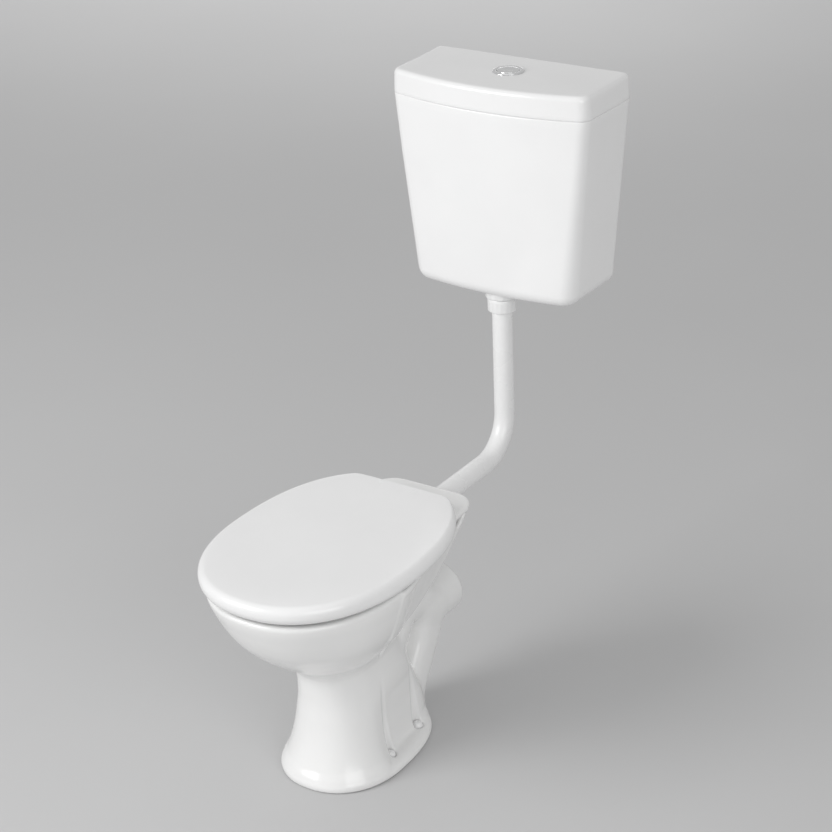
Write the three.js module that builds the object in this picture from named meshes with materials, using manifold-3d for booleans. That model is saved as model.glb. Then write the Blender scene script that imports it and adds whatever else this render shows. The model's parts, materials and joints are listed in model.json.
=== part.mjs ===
// Low-level WC suite: a washdown pan with a horizontal (P-trap) outlet, a seat and lid on a bar
// hinge, and a plastic wall cistern joined to the pan by a flush bend.
//
// Millimetres, +Z up, -Y towards the user. The origin is on the floor, under the middle of the
// whole suite. Depths are written as distances from the wall, and fromWall() turns them into Y.
import * as THREE from 'three';
import { mergeVertices } from 'three/addons/utils/BufferGeometryUtils.js';
import Module from 'manifold-3d';

const wasm = await Module();
wasm.setup();

// ---------------------------------------------------------------- driving dimensions
const SUITE_DEPTH = 936;          // wall to the front of the seat lid
const GAP = 0.3;                  // clearance between pieces that touch

const RIM_Z = 405;                // top of the pan's rim and deck
const RIM_HALF_WIDTH = 168;
const BOWL_CENTRE = 723;          // distance from the wall of the bowl's widest point
const FOOT_CENTRE = 658;
const NOSE_RATIO = 1.2;           // length ahead of the widest point, over half width
const DECK_REAR = 369;            // back edge of the deck that carries the hinges
const DECK_CORNER = 45;
const DECK_THICKNESS = 12;
const DECK_HALF_WIDTH = 100;
const COLLAR_WALL = 9;

const OUTLET_Z = 190;
const OUTLET_END = 356;           // distance from the wall of the outlet's end face
const OUTLET_RADIUS = 51;
const SPIGOT_START = 400;         // where the level end of the outlet begins
const TRAP_RADIUS = 40;

const PIPE_RADIUS = 19;
const PIPE_BORE = 17;
const PIPE_WALL_DISTANCE = 116;   // axis of the upright leg
const PIPE_LEG_Z = 366;           // axis of the level leg
const PIPE_BEND = 78;
const PIPE_TOP = 684;
const PIPE_END = 470;

const HINGE_DISTANCE = 476;
const HINGE_Z = 429;
const HINGE_SPACING = 155;
const ROD_RADIUS = 3.85;
const ROD_HOLE = 4.2;

const LID_TOP = 448;
const LID_BOTTOM = 411.5;
const LID_HALF_WIDTH = 184;
const LID_CENTRE = 700;
const LID_REAR = 464;
const SEAT_BOTTOM = 410;
const SEAT_TOP = 433;

const CISTERN_BOTTOM = 692;
const CISTERN_SEAM = 1047;
const CISTERN_TOP = 1091;
const CISTERN_WALL = 4;
const BUTTON_DISTANCE = 79;
const VALVE_DISTANCE = PIPE_WALL_DISTANCE;
const INLET_X = -118;
const INLET_DISTANCE = 78;
const WALL_SCREW_X = 110;
const WALL_SCREW_Z = 1004;

// ---------------------------------------------------------------- finishes
const finish = (color, roughness, metalness = 0) => ({ color, roughness, metalness });
const CERAMIC = finish(0xf4f4f1, 0.08);
const WHITE_PLASTIC = finish(0xf6f6f4, 0.22);
const GREY_PLASTIC = finish(0xb9bcbd, 0.5);
const CHROME = finish(0xd8dadb, 0.08, 1);
const RUBBER = finish(0x2b2c2e, 0.8);
const STEEL = finish(0xa9abad, 0.35, 1);

const suite = new THREE.Group();

function place(name, geometry, look) {
  const mesh = new THREE.Mesh(geometry, new THREE.MeshStandardMaterial(look));
  mesh.name = name;
  suite.add(mesh);
}

// ---------------------------------------------------------------- geometry helpers
const fromWall = distance => SUITE_DEPTH / 2 - distance;
const lerp = THREE.MathUtils.lerp;

// Straight-line reading of a list of [input, output] pairs in rising order of input.
function along(pairs, input) {
  for (let i = 1; i < pairs.length; i++) {
    const [x0, y0] = pairs[i - 1];
    const [x1, y1] = pairs[i];
    if (input <= x1) return lerp(y0, y1, (input - x0) / (x1 - x0));
  }
  return pairs[pairs.length - 1][1];
}

function solid(geometry) {
  const bare = geometry.clone();
  bare.deleteAttribute('normal');
  bare.deleteAttribute('uv');
  const merged = mergeVertices(bare, 1e-4);
  return new wasm.Manifold(new wasm.Mesh({
    numProp: 3,
    vertProperties: new Float32Array(merged.attributes.position.array),
    triVerts: new Uint32Array(merged.index.array),
  }));
}

function geometryOf(manifold) {
  const mesh = manifold.getMesh();
  const geometry = new THREE.BufferGeometry();
  geometry.setAttribute('position', new THREE.BufferAttribute(mesh.vertProperties, 3));
  geometry.setIndex(new THREE.BufferAttribute(mesh.triVerts, 1));
  return geometry;
}

const union = solids => solids.reduce((sum, next) => sum.add(next));

// Closed solid through level rings, listed upwards and each running anticlockwise seen from above.
function loft(rings) {
  const count = rings[0].length;
  const points = rings.flat();
  const index = [];
  for (let r = 0; r < rings.length - 1; r++) {
    for (let i = 0; i < count; i++) {
      const a = r * count + i;
      const b = r * count + (i + 1) % count;
      index.push(a, b, b + count, a, b + count, a + count);
    }
  }
  const cap = (first, facesUp) => {
    const ring = points.slice(first, first + count);
    const centre = ring.reduce((sum, p) => sum.add(p), new THREE.Vector3()).divideScalar(count);
    const hub = points.push(centre) - 1;
    for (let i = 0; i < count; i++) {
      const a = first + i;
      const b = first + (i + 1) % count;
      index.push(...(facesUp ? [hub, a, b] : [hub, b, a]));
    }
  };
  cap(0, false);
  cap((rings.length - 1) * count, true);
  const geometry = new THREE.BufferGeometry().setFromPoints(points);
  geometry.setIndex(index);
  return geometry;
}

// Egg outline: one super-ellipse ahead of the widest point and another behind it.
function egg(z, centre, halfWidth, front, back, options = {}) {
  const { frontPower = 2.2, backPower = 2.4, rearLimit = 0, count = 36 } = options;
  const ring = [];
  for (let i = 0; i < count; i++) {
    const angle = (2 * Math.PI * i) / count;
    const across = Math.cos(angle);
    const rearward = Math.sin(angle);
    const power = rearward > 0 ? backPower : frontPower;
    const length = rearward > 0 ? back : front;
    const x = halfWidth * Math.sign(across) * Math.abs(across) ** (2 / power);
    const reach = length * Math.sign(rearward) * Math.abs(rearward) ** (2 / power);
    ring.push(new THREE.Vector3(x, fromWall(Math.max(centre - reach, rearLimit)), z));
  }
  return ring;
}

function disc(radius, bottom, top, x, distance, sides = 24, topRadius = radius) {
  const geometry = new THREE.CylinderGeometry(topRadius, radius, top - bottom, sides);
  geometry.rotateX(Math.PI / 2);
  geometry.translate(x, fromWall(distance), (bottom + top) / 2);
  return solid(geometry);
}

const ring = (outer, inner, bottom, top, x, distance, sides = 24) =>
  disc(outer, bottom, top, x, distance, sides)
    .subtract(disc(inner, bottom - 1, top + 1, x, distance, sides));

// Cylinder along Y between two distances from the wall.
function barrel(radius, near, far, x, z, sides = 24, farRadius = radius) {
  const geometry = new THREE.CylinderGeometry(radius, farRadius, far - near, sides);
  geometry.translate(x, fromWall((near + far) / 2), z);
  return solid(geometry);
}

// Cylinder along X.
function axle(radius, x0, x1, distance, z, sides = 20) {
  const geometry = new THREE.CylinderGeometry(radius, radius, x1 - x0, sides);
  geometry.rotateZ(Math.PI / 2);
  geometry.translate((x0 + x1) / 2, fromWall(distance), z);
  return solid(geometry);
}

// Box given by its x range, its distances from the wall and its z range.
function block(x0, x1, near, far, z0, z1) {
  const geometry = new THREE.BoxGeometry(x1 - x0, far - near, z1 - z0);
  geometry.translate((x0 + x1) / 2, fromWall((near + far) / 2), (z0 + z1) / 2);
  return solid(geometry);
}

// Prism along X of an outline drawn as [distance from wall, z] points.
function sidePrism(outline, x0, x1) {
  const shape = new THREE.Shape(outline.map(([d, z]) => new THREE.Vector2(fromWall(d), z)));
  const geometry = new THREE.ExtrudeGeometry(shape, { depth: x1 - x0, bevelEnabled: false });
  geometry.applyMatrix4(new THREE.Matrix4().set(0, 0, 1, x0, 1, 0, 0, 0, 0, 1, 0, 0, 0, 0, 0, 1));
  return solid(geometry);
}

// Tube through a list of [distance from wall, z] points in the plane x = 0.
function tube(route, radius, steps, sides = 16) {
  const points = route.map(([d, z]) => new THREE.Vector3(0, fromWall(d), z));
  const shape = new THREE.Shape().absarc(0, 0, radius, 0, 2 * Math.PI);
  const geometry = new THREE.ExtrudeGeometry(shape, {
    steps,
    curveSegments: sides / 2,
    bevelEnabled: false,
    extrudePath: new THREE.CatmullRomCurve3(points, false, 'centripetal'),
  });
  return solid(geometry);
}

const bothSides = make => [make(-1, 'left'), make(1, 'right')];

// Side prisms from x0 to x1 on the right, and their mirror images on the left.
function sidePrisms(outline, x0, x1) {
  return union(bothSides(side =>
    (side > 0 ? sidePrism(outline, x0, x1) : sidePrism(outline, -x1, -x0))));
}

// ---------------------------------------------------------------- pan
const bodyCentre = [[0, FOOT_CENTRE], [100, 664], [200, 680], [300, 706], [400, BOWL_CENTRE]];
const bodyWidth = [
  [0, 109], [10, 109.5], [20, 106], [40, 97], [60, 89.5], [110, 77.5], [160, 69], [200, 67],
  [216, 69], [230, 77], [250, 91], [280, 113], [315, 139], [350, 156], [380, 165],
  [398, RIM_HALF_WIDTH], [RIM_Z, RIM_HALF_WIDTH - 3],
];
const footReach = [[0, 182], [20, 180], [60, 165], [110, 150], [160, 138], [216, 120]];
const innerWidth = [
  [66, 28], [74, 36], [110, 42], [150, 46], [190, 47], [216, 53], [232, 63], [252, 78],
  [282, 100], [317, 126], [350, 143], [374, 150],
];
const trapRoute = [
  [690, 112], [640, 104], [590, 128], [556, 182], [520, 226], [478, 226], [440, 203],
  [SPIGOT_START, OUTLET_Z], [385, OUTLET_Z],
];
const FLOOR_FIXINGS = [['front', 80, 650], ['rear', 70, 548]];
const FIXING_SEAT = 14;
const LEDGE_Z = 17;               // floor of the pocket in each side of the foot, round its fixings
const POCKET_X = 69;              // how far out the pocket's inner face stands
const POCKET_SKIN = 11;
const pocketOutline = [
  [514, LEDGE_Z], [664, LEDGE_Z], [676, 40], [680, 80], [668, 112], [620, 128], [560, 128], [514, 80],
];
const pocketBacking = [[500, -2], [700, -2], [700, 135], [500, 135]];

function levels(pairs, low, high) {
  return pairs.map(([z]) => z).filter(z => z >= low && z <= high);
}

function bodyRing(z, back, inset = 0) {
  const width = along(bodyWidth, z) - inset;
  return egg(z, along(bodyCentre, z), width, width * NOSE_RATIO, back - inset);
}

function bowl() {
  return solid(loft(levels(bodyWidth, 200, RIM_Z)
    .map(z => bodyRing(z, 0.95 * along(bodyWidth, z)))));
}

function pedestal(inset, low, high) {
  const heights = [low, ...levels(bodyWidth, low + 1, high - 1), high];
  return solid(loft(heights.map(z => bodyRing(z, along(footReach, z), inset))));
}

// Leg under the outlet, leaning forward as it comes down to the foot.
function outletLeg() {
  const rearFace = [[0, 470], [24, 468], [48, 462], [86, 438], [120, 419], [152, 402], [190, 392]];
  return solid(loft(rearFace.map(([z, rear]) =>
    egg(z, rear + 45, 46, 45, 45, { frontPower: 4, backPower: 4, count: 24 }))));
}

// Web in the middle of the gap between the leg and the trap.
const legWeb = () => sidePrism([[490, 80], [580, 80], [560, 190], [450, 190]], -12, 12);

// Plan half width of the collar under the deck: waisted behind the bowl, like an ogee.
function collarWidth(distance, z) {
  const run = THREE.MathUtils.clamp((distance - 410) / (BOWL_CENTRE - 410), 0, 1);
  const swell = Math.sin((Math.PI / 2) * run) ** 2;
  const top = DECK_HALF_WIDTH + (RIM_HALF_WIDTH - DECK_HALF_WIDTH) * swell;
  return top * (1 - 0.2 * (RIM_Z - z) / 105);
}

const collarRear = [
  [292, 540], [300, 510], [316, 468], [333, 447], [348, 434], [366, 416], [385, 408], [397, 404],
];

function collarRing(z, near, far, inset) {
  const steps = 8;
  const right = [];
  for (let i = 0; i <= steps; i++) {
    const distance = lerp(far, near, i / steps);
    right.push(new THREE.Vector3(collarWidth(distance, z) - inset, fromWall(distance), z));
  }
  const left = right.map(p => new THREE.Vector3(-p.x, p.y, p.z)).reverse();
  return [...right, ...left];
}

function collar() {
  const outside = solid(loft(collarRear.map(([z, rear]) => collarRing(z, rear, 700, 0))));
  const underDeck = RIM_Z - DECK_THICKNESS;
  const inside = solid(loft([285, 330, underDeck].map(z => collarRing(z, 340, 640, COLLAR_WALL))));
  const window = [[411, 393], [450, 393], [431, 371]];
  return outside.subtract(inside).subtract(sidePrisms(window, 60, 120));
}

function deck() {
  const shape = new THREE.Shape();
  const right = [];
  for (let distance = 700; distance >= 420; distance -= 35) {
    right.push([collarWidth(distance, RIM_Z), fromWall(distance)]);
  }
  shape.moveTo(-right[0][0], right[0][1]);
  shape.lineTo(right[0][0], right[0][1]);
  right.slice(1).forEach(([x, y]) => shape.lineTo(x, y));
  const cornerX = DECK_HALF_WIDTH - DECK_CORNER;
  const cornerY = fromWall(DECK_REAR + DECK_CORNER);
  shape.absarc(cornerX, cornerY, DECK_CORNER, 0, Math.PI / 2);
  shape.absarc(-cornerX, cornerY, DECK_CORNER, Math.PI / 2, Math.PI);
  right.slice(1).reverse().forEach(([x, y]) => shape.lineTo(-x, y));
  const geometry = new THREE.ExtrudeGeometry(shape, {
    depth: DECK_THICKNESS, bevelEnabled: false, curveSegments: 8,
  });
  geometry.translate(0, 0, RIM_Z - DECK_THICKNESS);
  return solid(geometry);
}

function bowlCavity(grow) {
  const inner = levels(innerWidth, 60, 380).map(z => {
    const width = along(innerWidth, z) + grow;
    const height = z === innerWidth[0][0] ? z - grow : z;
    return egg(height, along(bodyCentre, z), width, width * 1.15, width * 0.95, { count: 28 });
  });
  return solid(loft(inner));
}

function rimOpening() {
  const outline = (z, width) => egg(z, BOWL_CENTRE, width, width * 1.28, width * 1.02, { count: 28 });
  return solid(loft([outline(370, 126), outline(396, 126), outline(RIM_Z + 1, 133)]));
}

function pan() {
  const horn = barrel(32, 415, 610, 0, PIPE_LEG_Z, 28);
  const trap = tube(trapRoute, OUTLET_RADIUS, 12);
  const spigot = barrel(OUTLET_RADIUS, OUTLET_END, SPIGOT_START, 0, OUTLET_Z, 32);
  const outside = union([
    pedestal(0, 0, 216), bowl(), outletLeg(), legWeb(), trap, spigot, collar(), deck(), horn,
  ]);
  const bosses = FLOOR_FIXINGS.flatMap(([, x, distance]) =>
    bothSides(side => disc(17, -2, 60, side * x, distance, 20)));
  const hollow = pedestal(11, -1, 112)
    .subtract(bowlCavity(11))
    .subtract(trap)
    .subtract(sidePrisms(pocketBacking, POCKET_X - POCKET_SKIN, 130))
    .subtract(union(bosses));
  const pits = FLOOR_FIXINGS.flatMap(([, x, distance]) => bothSides(side =>
    disc(11, FIXING_SEAT, 80, side * x, distance, 20).add(disc(4, -1, 20, side * x, distance, 12))));
  const hingeHoles = bothSides(side =>
    disc(7, 380, RIM_Z + 1, (side * HINGE_SPACING) / 2, HINGE_DISTANCE, 16));
  return outside
    .subtract(hollow)
    .subtract(bowlCavity(0))
    .subtract(rimOpening())
    .subtract(tube(trapRoute, TRAP_RADIUS, 12))
    .subtract(barrel(TRAP_RADIUS, OUTLET_END - 10, SPIGOT_START, 0, OUTLET_Z, 32))
    .subtract(sidePrisms(pocketOutline, POCKET_X, 130))
    .subtract(barrel(26, 400, 480, 0, PIPE_LEG_Z, 28))
    .subtract(barrel(18, 470, 615, 0, PIPE_LEG_Z, 20))
    .subtract(union([...pits, ...hingeHoles]));
}

place('pan', geometryOf(pan()), CERAMIC);

for (const [row, x, distance] of FLOOR_FIXINGS) {
  bothSides((side, hand) => {
    const at = [side * x, distance];
    const screw = disc(3.4, 1, FIXING_SEAT + GAP, ...at, 12)
      .add(disc(6.5, FIXING_SEAT + GAP, 18, ...at, 12, 4));
    const cap = disc(9.5, FIXING_SEAT + GAP, 24, ...at, 20, 7)
      .subtract(disc(7.2, FIXING_SEAT - 1, 19, ...at, 16));
    place(`floor_screw_${row}_${hand}`, geometryOf(screw), STEEL);
    place(`screw_cap_${row}_${hand}`, geometryOf(cap), WHITE_PLASTIC);
  });
}

// ---------------------------------------------------------------- flush pipe and its joints
function flushPipe() {
  const bendTop = PIPE_LEG_Z + PIPE_BEND;
  const route = [[PIPE_WALL_DISTANCE, PIPE_TOP]];
  for (let i = 0; i <= 6; i++) {
    const angle = (Math.PI / 2) * (i / 6);
    const distance = PIPE_WALL_DISTANCE + PIPE_BEND * (1 - Math.cos(angle));
    route.push([distance, bendTop - PIPE_BEND * Math.sin(angle)]);
  }
  route.push([PIPE_END, PIPE_LEG_Z]);
  const curve = new THREE.CurvePath();
  const points = route.map(([d, z]) => new THREE.Vector3(0, fromWall(d), z));
  points.slice(1).forEach((p, i) => curve.add(new THREE.LineCurve3(points[i], p)));
  const shape = new THREE.Shape().absarc(0, 0, PIPE_RADIUS, 0, 2 * Math.PI);
  shape.holes.push(new THREE.Path().absarc(0, 0, PIPE_BORE, 0, 2 * Math.PI));
  return new THREE.ExtrudeGeometry(shape, {
    steps: 24, curveSegments: 7, bevelEnabled: false, extrudePath: curve,
  });
}

place('flush_pipe', geometryOf(solid(flushPipe())), WHITE_PLASTIC);

const cone = barrel(26.5, 400, 415 - GAP, 0, PIPE_LEG_Z, 24)
  .add(barrel(25.4, 410, 462, 0, PIPE_LEG_Z, 24, 23))
  .subtract(barrel(PIPE_RADIUS + 0.5, 390, 480, 0, PIPE_LEG_Z, 24));
place('flush_cone', geometryOf(cone), RUBBER);

const TAIL_RADIUS = 23;
const couplingNut = ring(27, TAIL_RADIUS + 0.5, 655, 677, 0, VALVE_DISTANCE, 30)
  .add(ring(27, PIPE_RADIUS + 0.5, 651, 655.5, 0, VALVE_DISTANCE, 30));
place('coupling_nut', geometryOf(couplingNut), WHITE_PLASTIC);
const pipeSeal = ring(TAIL_RADIUS, PIPE_RADIUS + 0.5, 655.8, 660.7, 0, VALVE_DISTANCE, 30);
place('pipe_seal', geometryOf(pipeSeal), RUBBER);
const backNut = disc(31, 678.5, CISTERN_BOTTOM - GAP, 0, VALVE_DISTANCE, 10)
  .subtract(disc(TAIL_RADIUS + 0.5, 670, 700, 0, VALVE_DISTANCE, 30));
place('valve_back_nut', geometryOf(backNut), WHITE_PLASTIC);

// ---------------------------------------------------------------- cistern
const CISTERN_CORNER = 24;
const cisternWidth = z => 166 + (z - CISTERN_BOTTOM) * 0.09;
const cisternDepth = z => 157 + (z - CISTERN_BOTTOM) * 0.003;
const cisternBow = z => 17 + (z - CISTERN_BOTTOM) * 0.017;

// Plan outline with a bowed front and soft front corners; the back lies flat on the wall.
function cisternRing(z, halfWidth, sideDepth, bow, inset, backInset = 0) {
  const corner = CISTERN_CORNER - inset;
  const half = halfWidth - inset;
  const side = sideDepth - inset;
  const turn = THREE.MathUtils.degToRad(74);
  const right = [];
  for (let i = 0; i <= 5; i++) {
    const angle = (turn * i) / 5;
    const x = half - corner * (1 - Math.cos(angle));
    right.push([x, side - corner * (1 - Math.sin(angle))]);
  }
  const [lastX, lastDepth] = right[right.length - 1];
  for (let i = 1; i <= 4; i++) {
    const x = lastX * (1 - i / 4);
    right.push([x, lastDepth + bow * (1 - (x / lastX) ** 2)]);
  }
  const left = right.slice(0, -1).map(([x, depth]) => [-x, depth]).reverse();
  const outline = [[half, backInset], ...right, ...left, [-half, backInset]];
  return outline.reverse().map(([x, depth]) => new THREE.Vector3(x, fromWall(depth), z));
}


function cisternShape(bottom, top, inset, backInset, round) {
  const rings = [];
  for (let i = 0; i <= 4; i++) {
    const angle = (Math.PI / 2) * (i / 4);
    const z = bottom + round * (1 - Math.cos(angle));
    const pull = inset + round * (1 - Math.sin(angle));
    rings.push(cisternRing(z, cisternWidth(z), cisternDepth(z), cisternBow(z), pull, backInset));
  }
  rings.push(cisternRing(top, cisternWidth(top), cisternDepth(top), cisternBow(top), inset, backInset));
  return solid(loft(rings));
}

const cisternFloor = CISTERN_BOTTOM + CISTERN_WALL;
const cisternBody = cisternShape(CISTERN_BOTTOM, CISTERN_SEAM, 0, 0, 18)
  .subtract(cisternShape(cisternFloor, CISTERN_SEAM + 1, CISTERN_WALL, CISTERN_WALL, 14))
  .subtract(disc(24, 680, 710, 0, VALVE_DISTANCE, 24))
  .subtract(disc(11, 680, 710, INLET_X, INLET_DISTANCE, 16))
  .subtract(union(bothSides(side => barrel(4.5, -1, 10, side * WALL_SCREW_X, WALL_SCREW_Z, 12))));
place('cistern_body', geometryOf(cisternBody), WHITE_PLASTIC);

bothSides((side, hand) => {
  const x = side * WALL_SCREW_X;
  const washer = barrel(9, 4 + GAP, 6, x, WALL_SCREW_Z, 16)
    .subtract(barrel(4.2, 3, 8, x, WALL_SCREW_Z, 12));
  const screw = barrel(3.6, 0.5, 8, x, WALL_SCREW_Z, 12)
    .add(barrel(6.5, 6 + GAP, 10.5, x, WALL_SCREW_Z, 12));
  place(`wall_washer_${hand}`, geometryOf(washer), RUBBER);
  place(`wall_screw_${hand}`, geometryOf(screw), STEEL);
});

function cisternLid() {
  const seat = CISTERN_SEAM + GAP;
  const outer = [
    [seat, 201, 0], [1076, 199.5, 0], [1084, 199, 1.5], [1089, 198.5, 5], [CISTERN_TOP, 198, 10],
  ];
  const cut = [[1036, 190.5], [1052, 190.5], [1058, 195], [1078, 192], [1085, 188]];
  const outside = loft(outer.map(([z, width, pull]) => cisternRing(z, width, 160, 25.5, pull)));
  const lip = loft([1039, 1054].map(z => cisternRing(z, 192.4, 152, 22, 0, 5)));
  const inside = loft(cut.map(([z, width]) => cisternRing(z, width, width - 41, 22, 0, 8)));
  return solid(outside)
    .add(solid(lip))
    .subtract(solid(inside))
    .subtract(disc(25, 1070, 1100, 0, BUTTON_DISTANCE, 28));
}

place('cistern_lid', geometryOf(cisternLid()), WHITE_PLASTIC);

const bezel = disc(29, CISTERN_TOP + GAP, CISTERN_TOP + 3, 0, BUTTON_DISTANCE, 32, 27)
  .add(disc(24.5, 1070, CISTERN_TOP + 1, 0, BUTTON_DISTANCE, 32))
  .subtract(disc(20.8, 1060, 1100, 0, BUTTON_DISTANCE, 32));
place('button_bezel', geometryOf(bezel), CHROME);
place('bezel_nut', geometryOf(ring(32, 24.8, 1077, 1085 - GAP, 0, BUTTON_DISTANCE, 24)), GREY_PLASTIC);

const button = disc(20.2, 1080, 1092, 0, BUTTON_DISTANCE, 32)
  .add(disc(20.2, 1092, 1095, 0, BUTTON_DISTANCE, 32, 18));
place('flush_button', geometryOf(button), CHROME);
const PLUNGER_TOP = 1080 - GAP;
const BRIDGE_TOP = 934;
const plunger = disc(5, BRIDGE_TOP + 8, PLUNGER_TOP, 0, BUTTON_DISTANCE, 14);
place('button_plunger', geometryOf(plunger), GREY_PLASTIC);

// ---------------------------------------------------------------- flush valve
const valveFloor = cisternFloor + GAP + 3.4;

function valveBody() {
  const at = [0, VALVE_DISTANCE];
  const tail = disc(TAIL_RADIUS, 661, valveFloor + 6, ...at, 30);
  const flange = disc(31, valveFloor + GAP, valveFloor + 6, ...at, 30);
  const cage = ring(36, 33.5, valveFloor + 5, 790, ...at, 30);
  const posts = union(bothSides(side => block(side * 34.5 - 3, side * 34.5 + 3, 110, 122, 780, 926)));
  const bridge = block(-38, 38, 62, 122, 924, BRIDGE_TOP);
  const ports = [0, 60, 120].map(angle => {
    const port = new THREE.BoxGeometry(100, 22, 44);
    port.rotateZ(THREE.MathUtils.degToRad(angle));
    port.translate(0, fromWall(VALVE_DISTANCE), 736);
    return solid(port);
  });
  return tail
    .add(flange)
    .add(cage)
    .add(disc(36, valveFloor + 4, valveFloor + 6, ...at, 30))
    .add(posts)
    .add(bridge)
    .subtract(union(ports))
    .subtract(disc(PIPE_RADIUS + 0.5, 650, 690, ...at, 30))
    .subtract(disc(PIPE_BORE, 680, 730, ...at, 30));
}

place('valve_body', geometryOf(valveBody()), WHITE_PLASTIC);
const gasket = ring(28.5, 23.5, cisternFloor + GAP, valveFloor, 0, VALVE_DISTANCE, 30);
place('valve_gasket', geometryOf(gasket), RUBBER);

const SEAL_Z = valveFloor + 6 + GAP;
place('valve_seal', geometryOf(ring(28, 17.5, SEAL_Z, SEAL_Z + 3, 0, VALVE_DISTANCE, 30)), RUBBER);
const liftTube = ring(21, PIPE_BORE, SEAL_Z + 3 + GAP, 890, 0, VALVE_DISTANCE, 30)
  .add(ring(30, PIPE_BORE, SEAL_Z + 3 + GAP, SEAL_Z + 8, 0, VALVE_DISTANCE, 30));
place('lift_tube', geometryOf(liftTube), GREY_PLASTIC);

// ---------------------------------------------------------------- fill valve
const inlet = [INLET_X, INLET_DISTANCE];
const fillValve = disc(10.4, 668, 720, ...inlet, 20)
  .add(disc(20, valveFloor + GAP, valveFloor + 5, ...inlet, 24))
  .add(disc(13, valveFloor + 4, 932, ...inlet, 24))
  .add(disc(25, 930, 952, ...inlet, 28))
  .add(disc(25, 952, 960, ...inlet, 28, 20))
  .subtract(disc(6, 660, 690, ...inlet, 14));
place('fill_valve', geometryOf(fillValve), WHITE_PLASTIC);
place('fill_valve_washer', geometryOf(ring(19, 11, cisternFloor + GAP, valveFloor, ...inlet, 24)), RUBBER);
const inletNut = disc(17, 680, CISTERN_BOTTOM - GAP, ...inlet, 6)
  .subtract(disc(10.8, 670, 700, ...inlet, 20));
place('fill_valve_nut', geometryOf(inletNut), WHITE_PLASTIC);
const floatCup = ring(32, 14, 790, 852, ...inlet, 28);
place('fill_float', geometryOf(floatCup), GREY_PLASTIC);

// ---------------------------------------------------------------- seat and lid
const LID_FRONT = SUITE_DEPTH - LID_CENTRE;
const LID_BACK = 260;
const LID_WALL = 4.2;
const lidRing = (z, pull, rearLimit) =>
  egg(z, LID_CENTRE, LID_HALF_WIDTH - pull, LID_FRONT - pull, LID_BACK - pull, {
    frontPower: 2.2, backPower: 2.3, rearLimit, count: 40,
  });

function hingeEye(x0, x1) {
  return axle(7, x0, x1, HINGE_DISTANCE, HINGE_Z);
}

const rodHole = axle(ROD_HOLE, -100, 100, HINGE_DISTANCE, HINGE_Z);

function seatLid() {
  const outer = [
    [LID_BOTTOM, 15], [413.5, 10], [417, 5.5], [421, 2.5], [426, 0.5], [433, 0], [438, 1.2],
    [443, 4.5], [446.5, 10], [LID_TOP, 18],
  ];
  const inner = [
    [405, 19.5], [412, 18.8], [416, 13], [420, 9], [426, 5.5], [433, 4.6], [438, 6.5], [443.5, 16],
  ];
  const notches = bothSides(side => block(side * 77.5 - 15, side * 77.5 + 15, 455, 486, 400, 440.5));
  const lugs = bothSides(side => block(side * 22 - 8, side * 22 + 8, 470, 482, HINGE_Z, 445)
    .add(hingeEye(side * 22 - 8, side * 22 + 8)));
  return solid(loft(outer.map(([z, pull]) => lidRing(z, pull, LID_REAR + 0.1 * pull))))
    .subtract(solid(loft(inner.map(([z, pull]) => lidRing(z, pull, LID_REAR + LID_WALL)))))
    .subtract(union(notches))
    .add(union(lugs))
    .subtract(rodHole);
}

place('seat_lid', geometryOf(seatLid()), WHITE_PLASTIC);

function seatRing() {
  const outer = [[SEAT_BOTTOM, 2.5], [SEAT_BOTTOM + 3, 0], [425, 0], [430, 2], [SEAT_TOP, 9]];
  const hole = [[SEAT_BOTTOM - 1, 108], [418, 106], [426, 108], [431, 112], [SEAT_TOP + 1, 120]];
  const outside = outer.map(([z, pull]) => egg(z, BOWL_CENTRE, 161 - pull, 184 - pull, 240 - pull, {
    rearLimit: 503 + pull, count: 36,
  }));
  const inside = hole.map(([z, width]) =>
    egg(z, BOWL_CENTRE, width, width * 1.36, width * 1.15, { count: 32 }));
  const lugs = bothSides(side => block(side * 48 - 9, side * 48 + 9, HINGE_DISTANCE, 512, 424.8, 432)
    .add(hingeEye(side * 48 - 9, side * 48 + 9)));
  return solid(loft(outside))
    .subtract(solid(loft(inside)))
    .add(union(lugs))
    .subtract(rodHole);
}

place('seat_ring', geometryOf(seatRing()), WHITE_PLASTIC);

for (const [row, x, distance] of [['front', 88, 860], ['rear', 112, 560]]) {
  bothSides((side, hand) => {
    const buffer = disc(9, RIM_Z + GAP, SEAT_BOTTOM - GAP, side * x, distance, 16);
    place(`seat_buffer_${row}_${hand}`, geometryOf(buffer), RUBBER);
  });
}
bothSides((side, hand) => {
  const buffer = disc(7, SEAT_TOP + GAP, 443.5 - GAP, side * 55, 881, 16);
  place(`lid_buffer_${hand}`, geometryOf(buffer), RUBBER);
});

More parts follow.
